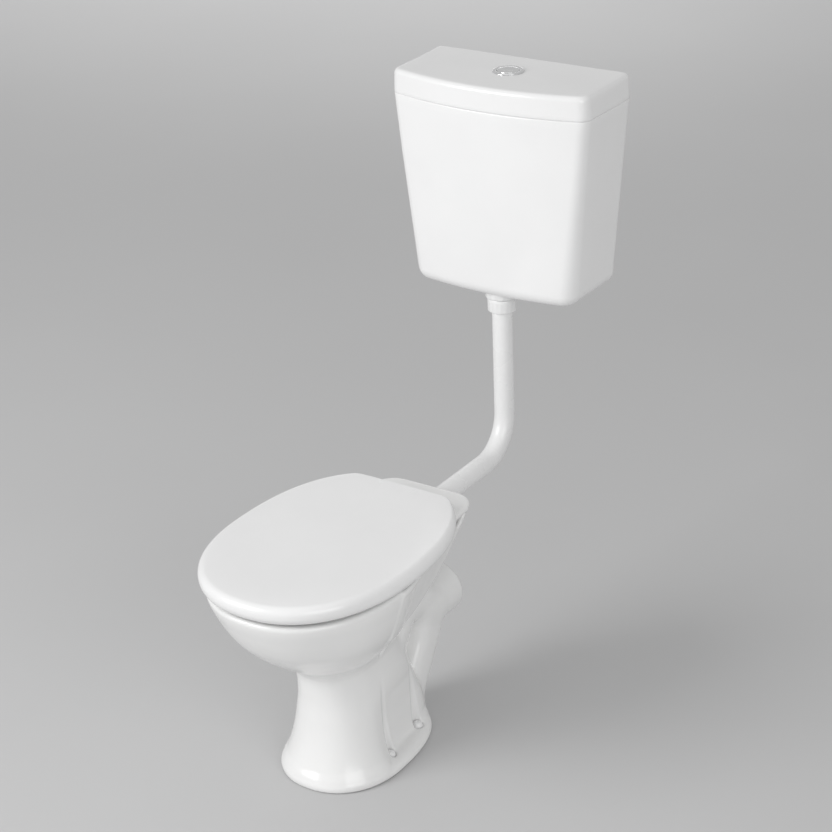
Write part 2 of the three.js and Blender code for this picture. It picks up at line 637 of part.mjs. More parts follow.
// ---------------------------------------------------------------- hinge
place('hinge_rod', geometryOf(axle(ROD_RADIUS, -88, 88, HINGE_DISTANCE, HINGE_Z)), STEEL);
bothSides((side, hand) => {
  const x = (side * HINGE_SPACING) / 2;
  const at = [x, HINGE_DISTANCE];
  const post = disc(13, RIM_Z + GAP, 408.5, ...at, 24)
    .add(block(x - 8, x + 8, HINGE_DISTANCE - 7, HINGE_DISTANCE + 7, 408, HINGE_Z))
    .add(hingeEye(x - 8, x + 8))
    .add(disc(4, 356, 407, ...at, 12))
    .subtract(rodHole);
  const deckBottom = RIM_Z - DECK_THICKNESS;
  place(`hinge_post_${hand}`, geometryOf(post), CHROME);
  const washer = ring(12, 4.4, deckBottom - 3, deckBottom - GAP, ...at, 16);
  place(`hinge_washer_${hand}`, geometryOf(washer), RUBBER);
  const wings = block(x - 12, x + 12, HINGE_DISTANCE - 2.5, HINGE_DISTANCE + 2.5, 372, 385);
  const wingNut = disc(8, 374, deckBottom - 3 - GAP, ...at, 16)
    .add(wings)
    .subtract(disc(4.4, 360, 400, ...at, 12));
  place(`wing_nut_${hand}`, geometryOf(wingNut), WHITE_PLASTIC);
});

export default suite;
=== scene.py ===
"""Low-level toilet suite: looks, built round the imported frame.

Blender works in metres, with the origin on the floor under the middle of the suite and the wall at
+Y. The shapes below are written in millimetres, with depth given as the distance from the wall.
"""
import json
import math

import bmesh
import bpy
import numpy as np
from mathutils import Matrix, Vector


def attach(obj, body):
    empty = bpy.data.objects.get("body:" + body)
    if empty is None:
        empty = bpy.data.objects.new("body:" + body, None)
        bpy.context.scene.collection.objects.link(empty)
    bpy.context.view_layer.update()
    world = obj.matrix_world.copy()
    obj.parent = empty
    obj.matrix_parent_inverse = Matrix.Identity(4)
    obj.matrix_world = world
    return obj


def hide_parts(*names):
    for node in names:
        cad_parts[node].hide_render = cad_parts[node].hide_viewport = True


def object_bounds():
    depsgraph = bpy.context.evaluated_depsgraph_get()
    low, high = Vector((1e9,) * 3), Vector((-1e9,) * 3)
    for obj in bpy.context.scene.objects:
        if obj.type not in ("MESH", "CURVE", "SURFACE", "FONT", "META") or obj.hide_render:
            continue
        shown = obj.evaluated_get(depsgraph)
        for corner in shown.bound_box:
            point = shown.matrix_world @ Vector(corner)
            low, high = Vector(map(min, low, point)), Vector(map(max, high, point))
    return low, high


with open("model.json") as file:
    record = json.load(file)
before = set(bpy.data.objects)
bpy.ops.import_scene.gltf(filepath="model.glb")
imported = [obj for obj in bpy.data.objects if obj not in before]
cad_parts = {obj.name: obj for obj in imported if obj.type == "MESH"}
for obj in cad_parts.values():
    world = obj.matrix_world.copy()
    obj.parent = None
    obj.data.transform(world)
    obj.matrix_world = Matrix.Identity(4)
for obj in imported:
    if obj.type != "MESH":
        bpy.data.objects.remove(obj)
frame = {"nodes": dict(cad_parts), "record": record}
cad_low, cad_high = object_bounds()

MM = 0.001
WALL = cad_high.y / MM            # the wall's Y, in millimetres

# ------------------------------------------------------------------ driving dimensions, mm
RIM = 405.0
RIM_HALF_WIDTH = 168.0
BOWL_CENTRE = 723.0
DECK_REAR = 369.0
DECK_HALF_WIDTH = 100.0
DECK_CORNER = 45.0
DECK_BOTTOM = 393.0
COLLAR_WALL = 9.0
OUTLET_Z = 190.0
OUTLET_END = 356.0
OUTLET_RADIUS = 51.0
TRAP_RADIUS = 40.0
PIPE_DISTANCE = 116.0
PIPE_LEG_Z = 366.0
PIPE_BEND = 78.0
PIPE_RADIUS = 19.0
HINGE_DISTANCE = 476.0
HINGE_Z = 429.0
HINGE_X = 77.5
BUTTON_DISTANCE = 79.0
CISTERN_BOTTOM = 692.0
CISTERN_SEAM = 1047.0
CISTERN_TOP = 1091.0
HOLE_RADIUS = 25.0
LID_TOP = 448.0
LID_CENTRE = 700.0
CASTING_WALL = 11.0
BACK_RISE = 2.8                   # of the cistern lid's top, between the button and the wall
RISE_START, RISE_SPAN = 1074, 14  # heights over which that rise sets in
FLOOR_DROP = 0.8                  # floor plane below the suite's foot

NOISE_LOW, NOISE_HIGH = 0.3, 0.7  # the range that a noise texture mostly keeps to


# ------------------------------------------------------------------ camera
def make_camera():
    """A view from above the front right: azimuth and elevation in degrees, with a slight roll."""
    azimuth, elevation, roll = (math.radians(a) for a in (34.29, 25.48, -2.32))
    back = Vector((
        math.sin(azimuth) * math.cos(elevation),
        -math.cos(azimuth) * math.cos(elevation),
        math.sin(elevation),
    ))
    level = Vector((math.cos(azimuth), math.sin(azimuth), 0))
    upright = back.cross(level)
    right = level * math.cos(roll) + upright * math.sin(roll)
    up = upright * math.cos(roll) - level * math.sin(roll)
    target = Vector((-0.0691, 0.1588, 0.4985))
    camera = bpy.data.objects.new("camera", bpy.data.cameras.new("camera"))
    bpy.context.collection.objects.link(camera)
    place = Matrix((right, up, back)).transposed().to_4x4()
    place.translation = target + back * 4.027
    camera.matrix_world = place
    camera.data.sensor_width = 36
    camera.data.lens = 96.12
    camera.data.clip_end = 60
    bpy.context.scene.camera = camera


# ------------------------------------------------------------------ materials
def node_material(name):
    material = bpy.data.materials.new(name)
    material.use_nodes = True
    nodes = material.node_tree.nodes
    return material, nodes, material.node_tree.links, nodes["Principled BSDF"]


def noise(nodes, links, scale, detail=3.0, stretch=(1, 1, 1)):
    coords = nodes.new("ShaderNodeTexCoord")
    mapping = nodes.new("ShaderNodeMapping")
    mapping.inputs["Scale"].default_value = stretch
    texture = nodes.new("ShaderNodeTexNoise")
    texture.inputs["Scale"].default_value = scale
    texture.inputs["Detail"].default_value = detail
    links.new(coords.outputs["Object"], mapping.inputs["Vector"])
    links.new(mapping.outputs["Vector"], texture.inputs["Vector"])
    return texture.outputs["Fac"]


def ramp(nodes, links, source, low, high):
    """Colour between low and high over the usual range of a noise."""
    band = nodes.new("ShaderNodeValToRGB")
    band.color_ramp.elements[0].position = NOISE_LOW
    band.color_ramp.elements[1].position = NOISE_HIGH
    band.color_ramp.elements[0].color = (*low, 1)
    band.color_ramp.elements[1].color = (*high, 1)
    links.new(source, band.inputs["Fac"])
    return band.outputs["Color"]


def span(nodes, links, source, low, high):
    remap = nodes.new("ShaderNodeMapRange")
    remap.inputs["From Min"].default_value = NOISE_LOW
    remap.inputs["From Max"].default_value = NOISE_HIGH
    remap.inputs["To Min"].default_value = low
    remap.inputs["To Max"].default_value = high
    links.new(source, remap.inputs["Value"])
    return remap.outputs["Result"]


def bump(nodes, links, shader, height, strength, distance):
    relief = nodes.new("ShaderNodeBump")
    relief.inputs["Strength"].default_value = strength
    relief.inputs["Distance"].default_value = distance
    links.new(height, relief.inputs["Height"])
    links.new(relief.outputs["Normal"], shader.inputs["Normal"])


def surface(name, low, high, rough, scale, relief, metallic=0.0, coat=0.0, stretch=(1, 1, 1)):
    """Principled surface whose colour, roughness and fine relief vary over the piece."""
    material, nodes, links, shader = node_material(name)
    shader.inputs["Metallic"].default_value = metallic
    shader.inputs["Coat Weight"].default_value = coat
    shader.inputs["Coat Roughness"].default_value = 0.03
    links.new(ramp(nodes, links, noise(nodes, links, scale[0]), low, high), shader.inputs["Base Color"])
    patches = noise(nodes, links, scale[1], stretch=stretch)
    links.new(span(nodes, links, patches, *rough), shader.inputs["Roughness"])
    grain = noise(nodes, links, scale[2], detail=2.0, stretch=stretch)
    bump(nodes, links, shader, grain, *relief)
    return material


def make_materials():
    return {
        "ceramic": surface("glazed_ceramic", (0.83, 0.83, 0.825), (0.86, 0.86, 0.855),
                           (0.15, 0.22), (6, 14, 45), (0.08, 0.0003), coat=0.08),
        "white_plastic": surface("white_gloss_plastic", (0.84, 0.84, 0.84), (0.87, 0.87, 0.87),
                                 (0.16, 0.24), (5, 18, 90), (0.08, 0.0003)),
        "pipe_plastic": surface("white_pipe_plastic", (0.83, 0.83, 0.83), (0.86, 0.86, 0.86),
                                (0.22, 0.32), (8, 20, 60), (0.04, 0.0002)),
        "grey_plastic": surface("grey_plastic", (0.42, 0.43, 0.44), (0.47, 0.48, 0.49),
                                (0.4, 0.55), (20, 30, 300), (0.2, 0.0003)),
        "chrome": surface("chrome_plate", (0.9, 0.905, 0.91), (0.94, 0.945, 0.95),
                          (0.08, 0.14), (30, 60, 120), (0.015, 0.0001), metallic=1.0),
        "rubber": surface("black_rubber", (0.018, 0.018, 0.019), (0.03, 0.03, 0.032),
                          (0.6, 0.8), (40, 60, 500), (0.3, 0.0003)),
        "steel": surface("plated_steel", (0.5, 0.5, 0.49), (0.6, 0.6, 0.58),
                         (0.25, 0.4), (40, 80, 400), (0.2, 0.0002), metallic=1.0, stretch=(1, 1, 8)),
    }


MATERIAL = make_materials()


# ------------------------------------------------------------------ mesh helpers
REPLACED = set()                  # CAD nodes that a visual piece stands in for


def link_piece(name, mesh, material, body, nodes):
    piece = bpy.data.objects.new(name, mesh)
    bpy.context.collection.objects.link(piece)
    mesh.materials.clear()
    mesh.materials.append(MATERIAL[material])
    mesh.shade_smooth()
    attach(piece, body)
    if nodes:
        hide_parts(*nodes)
        REPLACED.update(nodes)
    return piece


def points_mesh(name, points, faces):
    """Mesh from points in millimetres given as x, distance from the wall, z."""
    points = np.asarray(points, dtype=float)
    placed = np.stack([points[:, 0], WALL - points[:, 1], points[:, 2]], axis=1) * MM
    mesh = bpy.data.meshes.new(name)
    mesh.from_pydata(placed.tolist(), [], faces)
    mesh.validate()
    tidy = bmesh.new()
    tidy.from_mesh(mesh)
    bmesh.ops.recalc_face_normals(tidy, faces=tidy.faces)
    tidy.to_mesh(mesh)
    tidy.free()
    return mesh


def loft_mesh(name, rings, closed=False):
    """Skin through rings of equal length, with its two end rings filled, or joined when closed."""
    count = len(rings[0])
    points = [p for ring in rings for p in ring]
    faces = []
    spans = len(rings) if closed else len(rings) - 1
    for r in range(spans):
        a, b = r * count, ((r + 1) % len(rings)) * count
        for i in range(count):
            j = (i + 1) % count
            faces.append((a + i, a + j, b + j, b + i))
    if not closed:
        faces.append(tuple(range(count)))
        faces.append(tuple(range((len(rings) - 1) * count, len(rings) * count)))
    return points_mesh(name, points, faces)


def round_steps(steps=6):
    """Pairs (out, up) round a quarter circle, from the side to the top."""
    angles = [math.pi / 2 * i / steps for i in range(steps + 1)]
    return [(math.cos(a), math.sin(a)) for a in angles]


def turned_rings(profile, x, distance, sides):
    """Rings about an upright axis, one for each (radius, z) of the profile."""
    rings = []
    for radius, z in profile:
        ring = []
        for i in range(sides):
            angle = 2 * math.pi * i / sides
            ring.append((x + radius * math.cos(angle), distance + radius * math.sin(angle), z))
        rings.append(ring)
    return rings


def turned(name, profile, x, distance, sides=72):
    """Solid turned about an upright axis; profile is a closed loop of (radius, z)."""
    return loft_mesh(name, turned_rings(profile, x, distance, sides), closed=True)


def turned_solid(name, profile, x, distance, sides=72):
    """As turned(), for a profile that starts and ends close to the axis."""
    return loft_mesh(name, turned_rings(profile, x, distance, sides))


def softened(profile, radius, steps=4):
    """Rounds every corner of a closed (radius, z) loop."""
    result = []
    count = len(profile)
    for i in range(count):
        here = Vector(profile[i])
        before = Vector(profile[i - 1]) - here
        after = Vector(profile[(i + 1) % count]) - here
        cut = min(radius, before.length / 2.2, after.length / 2.2)
        start, end = here + before.normalized() * cut, here + after.normalized() * cut
        for s in range(steps + 1):
            t = s / steps
            point = start * (1 - t) ** 2 + here * 2 * t * (1 - t) + end * t ** 2
            result.append((point.x, point.y))
    return result


# ------------------------------------------------------------------ implicit surfaces
def smooth_min(a, b, radius):
    blend = np.clip(0.5 + 0.5 * (b - a) / radius, 0, 1)
    return b + (a - b) * blend - radius * blend * (1 - blend)


def smooth_max(a, b, radius):
    return -smooth_min(-a, -b, radius)


def curve_value(pairs, at):
    """Monotone cubic through (input, output) pairs, so that profiles have no kinks."""
    xs, ys = np.array(pairs, dtype=float).T
    slopes = np.diff(ys) / np.diff(xs)
    tangents = np.zeros_like(ys)
    same = slopes[:-1] * slopes[1:] > 0
    tangents[1:-1][same] = 2 * slopes[:-1][same] * slopes[1:][same] / (slopes[:-1] + slopes[1:])[same]
    tangents[0], tangents[-1] = slopes[0], slopes[-1]
    at = np.clip(at, xs[0], xs[-1])
    k = np.clip(np.searchsorted(xs, at) - 1, 0, len(xs) - 2)
    step = xs[k + 1] - xs[k]
    t = (at - xs[k]) / step
    return ((1 + 2 * t) * (1 - t) ** 2 * ys[k] + t * (1 - t) ** 2 * step * tangents[k]
            + t * t * (3 - 2 * t) * ys[k + 1] + t * t * (t - 1) * step * tangents[k + 1])


def egg(x, distance, centre, half_width, front, back, powers=(2.2, 2.4)):
    """Distance, in plan, to an egg outline made of two super-ellipses."""
    ahead = distance - centre
    length = np.where(ahead > 0, front, back)
    power = np.where(ahead > 0, powers[0], powers[1])
    across = np.maximum(np.abs(x) / half_width, 1e-6)
    deep = np.maximum(np.abs(ahead) / length, 1e-6)
    reach = (across ** power + deep ** power) ** (1 / power)
    slope = np.hypot(
        (across / reach) ** (power - 1) / half_width,
        (deep / reach) ** (power - 1) / length,
    )
    return (reach - 1) / slope


def polyline_distance(x, distance, z, route):
    nearest = np.full(np.shape(x), 1e9)
    for (d0, z0), (d1, z1) in zip(route, route[1:]):
        run = (d1 - d0) ** 2 + (z1 - z0) ** 2
        t = np.clip(((distance - d0) * (d1 - d0) + (z - z0) * (z1 - z0)) / run, 0, 1)
        nearest = np.minimum(nearest, (distance - d0 - t * (d1 - d0)) ** 2 + (z - z0 - t * (z1 - z0)) ** 2)
    return np.sqrt(nearest + np.square(x))


def rounded_route(points, steps=5):
    """Catmull-Rom curve through (distance, z) points, as a list of points."""
    padded = [points[0], *points, points[-1]]
    result = []
    for i in range(1, len(padded) - 2):
        p0, p1, p2, p3 = (np.array(p, dtype=float) for p in padded[i - 1:i + 3])
        for s in range(steps):
            t = s / steps
            point = 0.5 * (2 * p1 + (p2 - p0) * t + (2 * p0 - 5 * p1 + 4 * p2 - p3) * t * t
                           + (3 * p1 - p0 - 3 * p2 + p3) * t ** 3)
            result.append(tuple(point))
    return [*result, tuple(points[-1])]


def implicit_mesh(name, field, low, high, cell):
    """Quads on the zero surface of a field that is the same on both sides of x = 0.

    Each cell that the surface crosses gets one point, which is then moved onto the surface along
    the field's gradient.
    """
    half = np.arange(0, high[0] + cell, cell)
    xs = np.concatenate([-half[:0:-1], half])
    ds = np.arange(low[1], high[1] + cell, cell)
    zs = np.arange(low[2], high[2] + cell, cell)
    right = field(*np.meshgrid(half, ds, zs, indexing="ij"))
    values = np.concatenate([right[:0:-1], right])
    inside = values < 0
    corners = [(i, j, k) for i in (0, 1) for j in (0, 1) for k in (0, 1)]
    shape = tuple(n - 1 for n in values.shape)

    def corner(array, offset):
        return array[tuple(slice(o, o + n) for o, n in zip(offset, shape))]

    filled = sum(corner(inside, c).astype(np.int8) for c in corners)
    active = np.argwhere((filled > 0) & (filled < 8))
    total = np.zeros((len(active), 3))
    crossings = np.zeros(len(active))
    for a in corners:
        for axis in range(3):
            if a[axis]:
                continue
            b = tuple(1 if n == axis else v for n, v in enumerate(a))
            va = values[tuple((active + a).T)]
            vb = values[tuple((active + b).T)]
            crossed = (va < 0) != (vb < 0)
            t = np.where(crossed, va / np.where(crossed, va - vb, 1), 0)
            point = active + np.array(a) + np.outer(t, np.eye(3)[axis])
            total += point * crossed[:, None]
            crossings += crossed
    at = total / crossings[:, None]
    points = np.stack([xs[0] + at[:, 0] * cell, ds[0] + at[:, 1] * cell, zs[0] + at[:, 2] * cell], axis=1)
    index = np.full(shape, -1)
    index[tuple(active.T)] = np.arange(len(active))
    faces = []
    for axis in range(3):
        ahead = np.roll(inside, -1, axis)
        changed = inside != ahead
        edges = np.argwhere(changed)
        edges = edges[(edges[:, axis] < values.shape[axis] - 1)]
        u, v = [n for n in range(3) if n != axis]
        edges = edges[(edges[:, u] > 0) & (edges[:, v] > 0)]
        edges = edges[(edges[:, u] < shape[u]) & (edges[:, v] < shape[v])]
        step_u, step_v = np.eye(3, dtype=int)[u], np.eye(3, dtype=int)[v]
        ring = [edges, edges - step_u, edges - step_u - step_v, edges - step_v]
        faces.append(np.stack([index[tuple(r.T)] for r in ring], axis=1))
    for _ in range(3):
        value = field(*points.T)
        gradient = np.stack([
            (field(*(points + e).T) - field(*(points - e).T)) for e in np.eye(3) * 0.5
        ], axis=1)
        move = gradient * (value / np.maximum(np.sum(gradient ** 2, axis=1), 0.05))[:, None]
        points -= np.clip(move, -cell / 2, cell / 2)
    return points_mesh(name, points, np.concatenate(faces).tolist())


# ------------------------------------------------------------------ pan
BODY_CENTRE = [(0, 658), (100, 664), (200, 680), (300, 706), (400, BOWL_CENTRE)]
BODY_WIDTH = [
    (0, 110.5), (8, 111), (18, 107.5), (35, 98.5), (70, 87), (115, 77), (160, 69), (195, 66.5),
    (205, 67), (215, 69.5), (225, 74.5), (235, 82.5), (246, 93.5), (262, 107.5), (290, 128.5),
    (325, 147.5), (362, 160),
    (395, 167.5), (RIM, RIM_HALF_WIDTH),
]
BODY_BACK = [(0, 184), (20, 180), (60, 165), (110, 150), (160, 138), (216, 122), (260, 118),
             (300, 126), (350, 146), (RIM, 160)]
INNER_WIDTH = [(66, 28), (76, 37), (110, 42), (190, 47), (216, 54), (232, 64), (252, 80),
               (282, 103), (317, 129), (350, 146), (380, 150)]
TRAP_ROUTE = [(690, 112), (640, 104), (590, 128), (556, 182), (520, 226), (478, 226), (440, 203),
              (400, OUTLET_Z + 1), (300, OUTLET_Z)]
LEG_REAR = [(0, 470), (24, 468), (48, 461), (86, 438), (120, 419), (152, 402), (190, 392)]
COLLAR_LOW = [(404, 398), (408, 386), (416, 367), (434, 348), (447, 334), (468, 317), (510, 301),
              (560, 297), (700, 304), (723, 306)]
FLOOR_FIXINGS = [("front", 80, 650), ("rear", 70, 548)]


def body_field(x, d, z, inset=0.0):
    width = curve_value(BODY_WIDTH, z) - inset
    back = curve_value(BODY_BACK, z) - inset
    square = curve_value([(30, 2.4), (80, 3.8), (190, 3.8), (240, 2.4)], z)
    return egg(x, d, curve_value(BODY_CENTRE, z), width, width * 1.2, back, powers=(2.2, square))


def collar_half_width(d, z):
    swell = np.sin(np.pi / 2 * np.clip((d - 410) / (BOWL_CENTRE - 410), 0, 1)) ** 2
    top = DECK_HALF_WIDTH + (RIM_HALF_WIDTH - DECK_HALF_WIDTH) * swell
    return top * (1 - 0.2 * (RIM - z) / 105)


def collar_field(x, d, z):
    """The skirt under the deck: a wall on each side, cut away upwards at the back."""
    side = np.abs(x) - collar_half_width(d, z)
    under = (curve_value(COLLAR_LOW, d) - z) * 0.75
    outside = smooth_max(smooth_max(side, under, 5), 404 - d, 5)
    outside = np.maximum(outside, np.maximum(z - 400, d - 710))
    hollow = np.maximum(np.abs(x) - collar_half_width(d, z) + COLLAR_WALL, z - DECK_BOTTOM)
    hollow = smooth_max(hollow, d - 640, 10)
    outside = smooth_max(outside, -hollow, 3)
    window = np.maximum.reduce([
        z - 391,
        (412 - d) * 0.72 + (391 - z) * 0.62,
        (d - 450) * 0.76 + (391 - z) * 0.65,
        70 - np.abs(x),
    ])
    return smooth_max(outside, -window, 4)


def deck_field(x, d, z):
    plan = np.abs(x) - collar_half_width(d, RIM)
    corner = np.hypot(
        np.maximum(np.abs(x) - DECK_HALF_WIDTH + DECK_CORNER, 0),
        np.maximum(DECK_REAR + DECK_CORNER - d, 0),
    ) - DECK_CORNER
    plan = np.where(d < DECK_REAR + DECK_CORNER, corner, plan)
    plan = np.maximum(plan, d - 710)
    return smooth_max(smooth_max(plan, z - RIM, 7), DECK_BOTTOM - z, 5)


def leg_field(x, d, z):
    """The leg under the outlet, with a thin web in the middle between it and the trap."""
    rear = curve_value(LEG_REAR, z)
    leg = egg(x, d, rear + 44, 46, 44, 44, powers=(3.4, 3.4))
    leg = smooth_max(leg, z - 205, 8)
    web = np.maximum.reduce([np.abs(x) - 12, d - 575, rear + 40 - d, 80 - z, z - 200])
    return smooth_min(leg, web, 10)


def pocket_field(x, d, z):
    """The pocket in each side of the foot, whose floor is the ledge with the fixings."""
    inner = curve_value([(17, 71), (35, 67), (60, 64), (90, 62), (120, 63), (140, 69), (170, 82)], z)
    side = inner + 0.1 * np.clip(d - 560, 0, 100) - np.abs(x)
    front = (d - curve_value([(17, 672), (30, 676), (60, 682), (90, 683), (125, 675)], z)) * 0.5
    return smooth_max(smooth_max(side, front, 30), 17 - z, 7)


def cavity_field(x, d, z):
    width = curve_value(INNER_WIDTH, z)
    bowl = egg(x, d, curve_value(BODY_CENTRE, z), width, width * 1.15, width * 0.95)
    bowl = smooth_max(smooth_max(bowl, 66 - z, 14), z - 380, 12)
    opening = egg(x, d, BOWL_CENTRE, 126.0, 161.0, 128.5)
    opening = np.maximum(opening, 360 - z)
    return smooth_min(bowl, opening, 5)


def pan_field(x, d, z):
    trap = polyline_distance(x, d, z, rounded_route(TRAP_ROUTE))
    body = body_field(x, d, z)
    horn = np.maximum(np.maximum(np.hypot(x, z - PIPE_LEG_Z) - 32, 415 - d), d - 620)
    solid = smooth_min(body, np.maximum(trap - OUTLET_RADIUS, OUTLET_END - 1 - d), 9)
    solid = smooth_max(solid, -pocket_field(x, d, z), 18)
    solid = smooth_min(solid, leg_field(x, d, z), 12)
    solid = smooth_min(solid, collar_field(x, d, z), 14)
    solid = smooth_min(solid, horn, 5)
    solid = smooth_min(solid, deck_field(x, d, z), 5)
    solid = smooth_max(solid, z - RIM, 9)
    solid = smooth_max(solid, OUTLET_END - d, 3)
    solid = smooth_max(solid, -z, 4)
    sump = cavity_field(x, d, z) - CASTING_WALL
    hollow = smooth_max(body_field(x, d, z, CASTING_WALL), z - 112, 10)
    hollow = smooth_max(smooth_max(hollow, -sump, 6), OUTLET_RADIUS - trap, 6)
    hollow = smooth_max(hollow, np.abs(x) - 42, 6)
    for _, fixing_x, fixing_d in FLOOR_FIXINGS:
        across = np.hypot(np.abs(x) - fixing_x, d - fixing_d)
        hollow = smooth_max(hollow, 17 - across, 4)
        pit = np.maximum(across - 11, 14 - z)
        solid = smooth_max(solid, -pit, 2)
    solid = smooth_max(solid, -hollow, 5)
    solid = smooth_max(solid, -cavity_field(x, d, z), 7)
    solid = smooth_max(solid, TRAP_RADIUS - trap, 5)
    bore = np.minimum(
        np.maximum(np.hypot(x, z - PIPE_LEG_Z) - 26, d - 480),
        np.maximum(np.hypot(x, z - PIPE_LEG_Z) - 18, d - 615),
    )
    solid = smooth_max(solid, -np.maximum(bore, 400 - d), 2)
    hinge_hole = np.hypot(np.abs(x) - HINGE_X, d - HINGE_DISTANCE) - 7
    return smooth_max(solid, -np.maximum(hinge_hole, 360 - z), 2)


def make_pan():
    cell = 2.6
    mesh = implicit_mesh("pan_casting", pan_field, (0, 345, -8), (176, 935, 412), cell)
    link_piece("pan_casting", mesh, "ceramic", "pan_and_cistern", ["pan"])


# ------------------------------------------------------------------ seat and lid
def seat_outline(z, half_width, front, back, rear, corner, powers, count=160):
    """Egg outline about the cover's middle with a flattened back edge, as x, distance, z."""
    points = []
    for i in range(count):
        angle = 2 * math.pi * (i + 0.5) / count
        across, ahead = math.cos(angle), math.sin(angle)
        power = powers[0] if ahead > 0 else powers[1]
        x = half_width * math.copysign(abs(across) ** (2 / power), across)
        reach = (front if ahead > 0 else back) * math.copysign(abs(ahead) ** (2 / power), ahead)
        distance = float(smooth_max(LID_CENTRE + reach, np.float64(rear), corner))
        points.append((x, distance, z))
    return points


def cover_ring(z, pull, rear):
    back = 262 - max(0.0, pull - 18)
    return seat_outline(z, 184 - pull, 236 - pull, back, rear, 5, (2.2, 2.4))


def box_cutter(name, low, high):
    """Box between two corners given as x, distance, z."""
    rings = [[(low[0], low[1], z), (high[0], low[1], z), (high[0], high[1], z), (low[0], high[1], z)]
             for z in (low[2], high[2])]
    cutter = bpy.data.objects.new(name, loft_mesh(name, rings))
    bpy.context.collection.objects.link(cutter)
    return cutter


def cut(piece, cutter):
    """Cuts a piece with another object, which is then thrown away."""
    change = piece.modifiers.new("cut", "BOOLEAN")
    change.operation = "DIFFERENCE"
    change.solver = "MANIFOLD"
    change.object = cutter
    depsgraph = bpy.context.evaluated_depsgraph_get()
    shaped = bpy.data.meshes.new_from_object(piece.evaluated_get(depsgraph))
    piece.modifiers.clear()
    piece.data = shaped
    bpy.data.objects.remove(cutter)
    piece.data.shade_smooth()
    piece.data.set_sharp_from_angle(angle=math.radians(22))


def cover_profile():
    """(z, pull) rows from the bottom edge, up the side, over the round and across the top."""
    rows = [(412.2, 17), (411.6, 15.5), (411.9, 13.5), (413.5, 10), (416, 6.6), (419.5, 3.4),
            (424, 1), (429, 0), (433, 0.1)]
    for i in range(1, 13):
        angle = math.pi / 2 * i / 12
        rows.append((433 + 13.6 * math.sin(angle), 0.1 + 14 * (1 - math.cos(angle))))
    rows += [(446.9, 18), (447.3, 26), (447.6, 40), (447.8, 70), (447.9, 110), (LID_TOP, 150),
             (LID_TOP, 172)]
    return rows


def under_profile():
    rows = [(443.5, 172), (443.5, 120), (443.4, 80), (443.2, 45), (442.6, 28)]
    for i in range(7):
        angle = math.pi / 2 * i / 6
        rows.append((430 + 12.2 * math.cos(angle), 5.0 + 15 * (1 - math.sin(angle))))
    return rows + [(424, 6.5), (418, 11), (414.5, 18.5)]


def make_cover():
    rings = [cover_ring(z, pull, 468.2) for z, pull in under_profile()]
    rings += [cover_ring(z, pull, 464 + 0.1 * min(pull, 18)) for z, pull in cover_profile()]
    piece = link_piece("seat_cover", loft_mesh("seat_cover", rings), "white_plastic",
                       "seat_lid", ["seat_lid"])
    for side in (-1, 1):
        x = side * HINGE_X
        cut(piece, box_cutter("notch", (x - 15, 450, 400), (x + 15, 486, 440)))
    for side, hand in ((-1, "left"), (1, "right")):
        lug = implicit_mesh(f"cover_lug_{hand}", cover_lug_field, (0, 466, 420), (10, 487, 447), 0.9)
        for vertex in lug.vertices:
            vertex.co.x += side * 22 * MM
        link_piece(f"cover_lug_{hand}", lug, "white_plastic", "seat_lid", [])


def cover_lug_field(x, d, z):
    """Hanger under the cover that holds the hinge bar, drawn about its own middle."""
    eye = np.hypot(d - HINGE_DISTANCE, z - HINGE_Z) - 7
    stem = np.maximum.reduce([np.abs(d - HINGE_DISTANCE) - 6, HINGE_Z - z, z - 444.5])
    lug = smooth_max(np.abs(x) - 8, smooth_min(eye, stem, 3), 2)
    return np.maximum(lug, 4.2 - np.hypot(d - HINGE_DISTANCE, z - HINGE_Z))


def ring_field(x, d, z):
    plan = egg(x, d, BOWL_CENTRE, 161.0, 184.0, 240.0)
    plan = smooth_max(plan, 503 - d, 14)
    hole = egg(x, d, BOWL_CENTRE, 106.0, 144.0, 122.0)
    across = smooth_max(plan, -hole, 2)
    ring = smooth_max(smooth_max(across, z - 433, 14), 410 - z, 6)
    eye = np.hypot(d - HINGE_DISTANCE, z - HINGE_Z) - 7
    arm = np.maximum.reduce([HINGE_DISTANCE - d, d - 512, np.abs(z - 428.4) - 3.6])
    lug = np.maximum(np.abs(np.abs(x) - 48) - 9, smooth_min(eye, arm, 3))
    ring = smooth_min(ring, lug, 3)
    rod = np.maximum(np.hypot(d - HINGE_DISTANCE, z - HINGE_Z) - 4.2, np.abs(x) - 60)
    return np.maximum(ring, -rod)


def make_seat():
    make_cover()
    cell = 2.2
    ring = implicit_mesh("seat_frame", ring_field, (0, 460, 403), (176, 934, 440), cell)
    link_piece("seat_frame", ring, "white_plastic", "seat", ["seat_ring"])


# ------------------------------------------------------------------ cistern
def cistern_outline(z, half_width, side_depth, bow, inset, back_inset, round_corner=24.0):
    """Plan outline with a bowed front, soft front corners and a flat back, as x, distance, z."""
    corner = round_corner - min(inset, 20)
    half, side = half_width - inset, side_depth - inset
    slope = math.radians(16)
    right = [(half, back_inset + 2.5), (half, back_inset + 8)]
    right += [(half, back_inset + (side - corner - back_inset) * t) for t in (0.25, 0.5, 0.75)]
    for i in range(13):
        angle = (math.pi / 2 - slope) * i / 12
        right.append((half - corner * (1 - math.cos(angle)), side - corner * (1 - math.sin(angle))))
    last_x, last_depth = right[-1]
    for i in range(1, 15):
        x = last_x * (1 - i / 14)
        right.append((x, last_depth + bow * (1 - (x / last_x) ** 2)))
    right = [(half - 2.5, back_inset), (half - 1, back_inset + 0.6)] + right
    left = [(-x, depth) for x, depth in right[-2::-1]]
    return [(x, depth, z) for x, depth in right + left]


